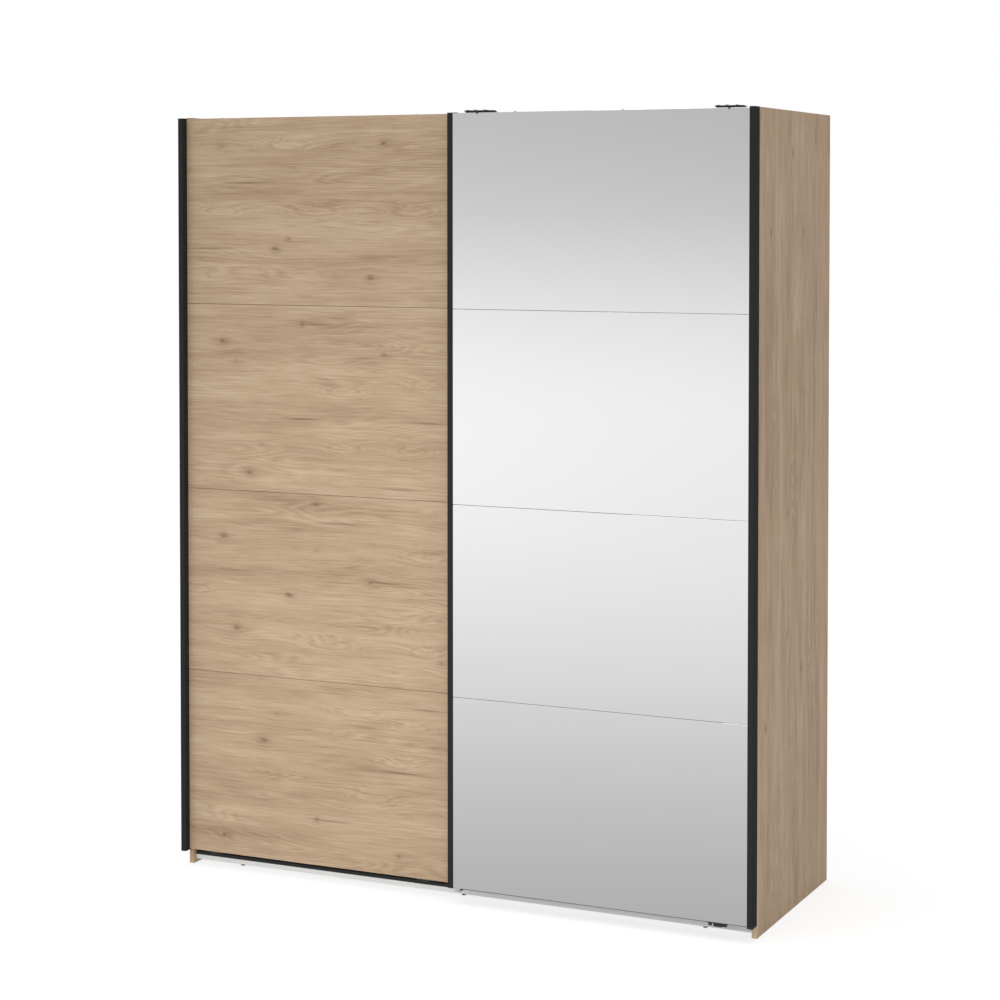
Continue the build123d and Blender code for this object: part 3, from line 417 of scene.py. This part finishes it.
finishes = {
    "door_wood": board_woods["wood_door_board_1"],
    "carcass_wood": side_woods["side_panel_right"],
    "interior_melamine": speckled("interior_melamine", linear(226, 226, 224), 0.5, 0.03, 500.0),
    "back_hardboard": speckled("back_hardboard", linear(224, 224, 222), 0.6, 0.03, 700.0),
    "carrier_board": speckled("carrier_board", linear(122, 92, 66), 0.8, 0.20, 1100.0, 0.0001),
    "beech": speckled("beech", linear(205, 170, 126), 0.7, 0.15, 300.0, 0.0001, (1, 0.1, 1)),
    "white_plastic": speckled("white_plastic", linear(228, 228, 226), 0.45, 0.02, 1500.0),
    "black_plastic": speckled("black_plastic", linear(40, 40, 41), 0.5, 0.10, 1600.0),
    "brown_strip": speckled("brown_strip", linear(112, 94, 77), 0.6, 0.08, 1200.0),
    "grey_strip": speckled("grey_strip", linear(172, 172, 173), 0.5, 0.05, 1200.0),
    "wheel_plastic": speckled("wheel_plastic", linear(52, 52, 54), 0.35, 0.06, 1500.0),
    "rubber_stop": speckled("rubber_stop", linear(44, 44, 44), 0.85, 0.10, 900.0, 0.0001),
    "steel": speckled("steel", linear(196, 197, 199), 0.35, 0.06, 700.0, Metallic=1.0),
    "zinc": speckled("zinc", linear(188, 189, 190), 0.45, 0.08, 500.0, Metallic=1.0),
    "chrome_tube": speckled("chrome_tube", linear(222, 223, 225), 0.12, 0.01, 300.0, 0.00001, Metallic=1.0),
    "track_aluminium": speckled("track_aluminium", linear(206, 207, 209), 0.38, 0.05, 900.0, 0.00003,
                                (0.02, 1, 1), Metallic=1.0),
    "black_profile": speckled("black_profile", linear(41, 41, 42), 0.5, 0.08, 1400.0, 0.00002,
                              (1, 1, 0.05), Specular_IOR_Level=0.08),
    "black_steel": speckled("black_steel", linear(42, 42, 44), 0.45, 0.08, 1300.0),
    "mirror_glass": speckled("mirror_glass", linear(248, 248, 248), 0.012, 0.004, 3.0, 0.0, Metallic=1.0),
}

for entry in frame["record"]["materials"]:
    if entry["slot"] not in finishes:
        raise RuntimeError("no finish for the slot " + entry["slot"])

slot_of = {part["node"]: part["material_slot"] for part in frame["record"]["subparts"]}
for node, piece in nodes.items():
    for place in piece.material_slots:
        place.material = board_woods.get(node) or side_woods.get(node) or finishes[slot_of[node]]

# ------------------------------------------------------------------ screws
SCREW_SIDES = 20
THREAD_PITCH = 0.0016
THREAD_ROOT = 0.76  # radius between the threads, as a share of the shank's
NECK = 0.0012  # the plain length under the head
RECESS_ARM = 0.50  # the cross recess, in head radii
RECESS_HALF = 0.11
RECESS_DEPTH = 0.6  # in head heights
RECESS_TAPER = 0.62
END_FACE = 0.0002  # points this close to a solid's end count as on it
SHARP_EDGE = 0.6  # radians


def solids(node):
    """The points of each separate solid in a CAD node."""
    mesh = nodes[node].data
    spots = [tuple(round(value, 5) for value in vertex.co) for vertex in mesh.vertices]
    parent = {spot: spot for spot in spots}

    def root(spot):
        while parent[spot] != spot:
            parent[spot] = parent[parent[spot]]
            spot = parent[spot]
        return spot

    for edge in mesh.edges:
        parent[root(spots[edge.vertices[0]])] = root(spots[edge.vertices[1]])
    groups = {}
    for spot in parent:
        groups.setdefault(root(spot), []).append(Vector(spot))
    return [groups[key] for key in sorted(groups)]


def measured(points):
    """A screw's head centre, the way it faces, head radius and height, shank and length."""
    low = Vector(min(point[i] for point in points) for i in range(3))
    high = Vector(max(point[i] for point in points) for i in range(3))
    middle = (low + high) / 2
    length, along = max((high[i] - low[i], i) for i in range(3))
    reaches = []
    for point in points:
        radial = point - middle
        radial[along] = 0.0
        reaches.append((point[along], radial.length))
    head = max(reach for place, reach in reaches)
    at_low = max(reach for place, reach in reaches if place - low[along] < END_FACE)
    at_high = max(reach for place, reach in reaches if high[along] - place < END_FACE)
    shank = min(at_low, at_high)
    facing = Vector((0.0, 0.0, 0.0))
    facing[along] = 1.0 if at_high > at_low else -1.0
    centre = middle + facing * length / 2
    height = max(abs(place - centre[along]) for place, reach in reaches if reach > (head + shank) / 2)
    return centre, facing, head, height, shank, length


def lathe_ring(mesh, radius, depth):
    """A ring of vertices, or one vertex where the radius is nothing."""
    if radius == 0.0:
        return [mesh.verts.new((0.0, 0.0, depth))]
    turn = 2 * math.pi / SCREW_SIDES
    return [mesh.verts.new((radius * math.cos(i * turn), radius * math.sin(i * turn), depth))
            for i in range(SCREW_SIDES)]


def add_screw(mesh, head, head_height, shank, length, place):
    """A pan-head screw with a cross recess and a thread, its head at the origin, down -Z."""
    first = len(mesh.verts)
    profile = [(0.62 * head, 0.0), (0.86 * head, -0.14 * head_height), (0.97 * head, -0.40 * head_height),
               (head, -0.72 * head_height), (head, -head_height), (0.9 * shank, -head_height)]
    depth = -head_height - NECK
    tip = -length + 1.6 * shank
    while depth - THREAD_PITCH > tip:
        profile += [(THREAD_ROOT * shank, depth), (shank, depth - THREAD_PITCH / 2)]
        depth -= THREAD_PITCH
    profile += [(THREAD_ROOT * shank, tip), (0.30 * shank, -length + 0.3 * shank), (0.0, -length)]
    rings = [lathe_ring(mesh, radius, z) for radius, z in profile]
    for upper, lower in zip(rings, rings[1:]):
        for i in range(SCREW_SIDES):
            j = (i + 1) % SCREW_SIDES
            if len(lower) == 1:
                mesh.faces.new((upper[j], upper[i], lower[0]))
            else:
                mesh.faces.new((upper[j], upper[i], lower[i], lower[j]))
    arm = RECESS_ARM * head
    half = RECESS_HALF * head
    corners = [(arm, -half), (arm, half), (half, half), (half, arm), (-half, arm), (-half, half),
               (-arm, half), (-arm, -half), (-half, -half), (-half, -arm), (half, -arm), (half, -half)]
    rim = [mesh.verts.new((x, y, 0.0)) for x, y in corners]
    base = [mesh.verts.new((RECESS_TAPER * x, RECESS_TAPER * y, -RECESS_DEPTH * head_height))
            for x, y in corners]
    for i in range(len(corners)):
        j = (i + 1) % len(corners)
        mesh.faces.new((rim[i], rim[j], base[j], base[i]))
    mesh.faces.new(base)
    edges = [mesh.edges.get((loop[i - 1], loop[i])) for loop in (rings[0], rim) for i in range(len(loop))]
    bmesh.ops.triangle_fill(mesh, edges=edges, use_beauty=True)
    mesh.verts.ensure_lookup_table()
    bmesh.ops.transform(mesh, matrix=place, verts=mesh.verts[first:])


def screws(node, body):
    """Replaces a node's plain screws with threaded, cross-headed ones in the same places."""
    mesh = bmesh.new()
    for points in solids(node):
        centre, facing, head, head_height, shank, length = measured(points)
        place = Matrix.Translation(centre) @ facing.to_track_quat("Z", "Y").to_matrix().to_4x4()
        add_screw(mesh, head, head_height, shank, length, place)
    bmesh.ops.recalc_face_normals(mesh, faces=mesh.faces)
    data = bpy.data.meshes.new(node + "_threaded")
    mesh.to_mesh(data)
    mesh.free()
    data.polygons.foreach_set("use_smooth", [True] * len(data.polygons))
    data.set_sharp_from_angle(angle=SHARP_EDGE)
    piece = bpy.data.objects.new(node + "_threaded", data)
    scene.collection.objects.link(piece)
    slot = slot_of[node]
    data.materials.append(finishes[slot])
    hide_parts(node)
    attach(piece, body)


for screw_node, screw_body in (("track_screws", "carcass"), ("hanging_rail_socket_screws", "carcass"),
                               ("wood_door_screws", "wood_door"), ("mirror_door_screws", "mirror_door")):
    screws(screw_node, screw_body)

# ------------------------------------------------------------------ floor, world and light
FLOOR_RADIUS = 40.0
FLOOR_SEEN = (0.30, 0.74)  # grey and glow of the floor as the camera sees it, white
FLOOR_UNDER = (0.66, 0.24)  # and as it lights the wardrobe from below


def floor_look(shader, grey, glow):
    """Sets the floor's grey and glow on a shader."""
    shader.inputs["Base Color"].default_value = (grey, grey, grey, 1.0)
    shader.inputs["Roughness"].default_value = 0.9
    shader.inputs["Specular IOR Level"].default_value = 0.1
    shader.inputs["Emission Color"].default_value = (1.0, 1.0, 1.0, 1.0)
    shader.inputs["Emission Strength"].default_value = glow


floor_mesh = bpy.data.meshes.new("floor")
shape = bmesh.new()
bmesh.ops.create_circle(shape, cap_ends=True, segments=96, radius=FLOOR_RADIUS)
shape.to_mesh(floor_mesh)
shape.free()
floor = bpy.data.objects.new("floor", floor_mesh)
scene.collection.objects.link(floor)
floor_finish, floor_graph, seen_floor = material("floor", (1.0, 1.0, 1.0, 1.0))
under_floor = floor_graph.node("ShaderNodeBsdfPrincipled")
floor_look(seen_floor, *FLOOR_SEEN)
floor_look(under_floor, *FLOOR_UNDER)
floor_mix = floor_graph.node("ShaderNodeMixShader")
camera_ray = floor_graph.node("ShaderNodeLightPath").outputs["Is Camera Ray"]
floor_graph.feed(floor_mix.inputs[0], camera_ray)
floor_graph.feed(floor_mix.inputs[1], under_floor.outputs[0])
floor_graph.feed(floor_mix.inputs[2], seen_floor.outputs[0])
floor_graph.feed(floor_graph.tree.nodes["Material Output"].inputs[0], floor_mix.outputs[0])
floor_mesh.materials.append(floor_finish)
floor.visible_glossy = False

# The studio is pale all round. In front of the wardrobe one broad glow lies a little below eye
# level, and the light rises again overhead, which gives mirrors their soft gradient.
DIM = 0.35
GLOW = 0.61
GLOW_HEIGHT = -0.09  # the Z of a direction towards the middle of the glow
GLOW_BELOW = 0.150
GLOW_ABOVE = 0.107
OVERHEAD = 0.86
OVERHEAD_REACH = 0.5  # the Z of a direction where the light from above is full
BACK_LIGHT = 0.40
SIDE_LIGHT = 0.54  # share of the light that comes from the right
SHADE = 0.12  # share of the front light that is lost, except far to the left or low down
SUN_ENERGY = 1.1
SUN_SOFTNESS = 0.8  # radians
FILL_WIDTH = 2.4
FILL_HEIGHT = 1.0
FILL_ENERGY = 14.0
FILL_PLACE = (0.2, -2.0, 0.75)

world = bpy.data.worlds.new("studio")
scene.world = world
world.use_nodes = True
sky = Graph(world.node_tree)
background = world.node_tree.nodes["Background"]
towards = sky.split(sky.node("ShaderNodeTexCoord").outputs["Generated"])
offset = sky.math("SUBTRACT", towards[2], GLOW_HEIGHT)
above = sky.math("DIVIDE", offset, GLOW_ABOVE)
below = sky.math("DIVIDE", offset, -GLOW_BELOW)
reach = sky.math("MAXIMUM", above, below)
glow = sky.bell(sky.math("MULTIPLY", reach, reach))
overhead = sky.spread(towards[2], 0.0, OVERHEAD_REACH, DIM, DIM + OVERHEAD)
front_light = sky.add(overhead, glow, GLOW)
shade = sky.spread(towards[0], -0.45, -0.25, 0.0, SHADE)
not_low = sky.spread(towards[2], -0.19, -0.12)
kept = sky.math("SUBTRACT", 1.0, sky.math("MULTIPLY", shade, not_low))
front_light = sky.math("MULTIPLY", front_light, kept)
front_light = sky.combine(front_light, front_light, front_light)
behind = sky.spread(towards[1], -0.25, 0.30)
rightward = sky.spread(towards[0], 0.05, 0.75, 1.0, SIDE_LIGHT)
studio = sky.mix(behind, front_light, (BACK_LIGHT, BACK_LIGHT, BACK_LIGHT, 1.0))
studio = sky.vector("SCALE", studio)
sky.feed(studio.node.inputs["Scale"], rightward)
seen = sky.node("ShaderNodeLightPath").outputs["Is Camera Ray"]
sky.feed(background.inputs["Color"], sky.mix(seen, studio, (1.0, 1.0, 1.0, 1.0)))

top_light = bpy.data.lights.new("top_light", "SUN")
top_light.energy = SUN_ENERGY
top_light.angle = SUN_SOFTNESS
top_lamp = bpy.data.objects.new("top_light", top_light)
scene.collection.objects.link(top_lamp)

# A wide soft lamp low in front lifts the lower boards; mirrors and gloss don't show it.
fill_light = bpy.data.lights.new("fill_light", "AREA")
fill_light.shape = "RECTANGLE"
fill_light.size = FILL_WIDTH
fill_light.size_y = FILL_HEIGHT
fill_light.energy = FILL_ENERGY
fill_lamp = bpy.data.objects.new("fill_light", fill_light)
fill_lamp.location = FILL_PLACE
fill_lamp.rotation_euler = (math.pi / 2, 0.0, 0.0)
fill_lamp.visible_glossy = False
fill_lamp.visible_camera = False
scene.collection.objects.link(fill_lamp)
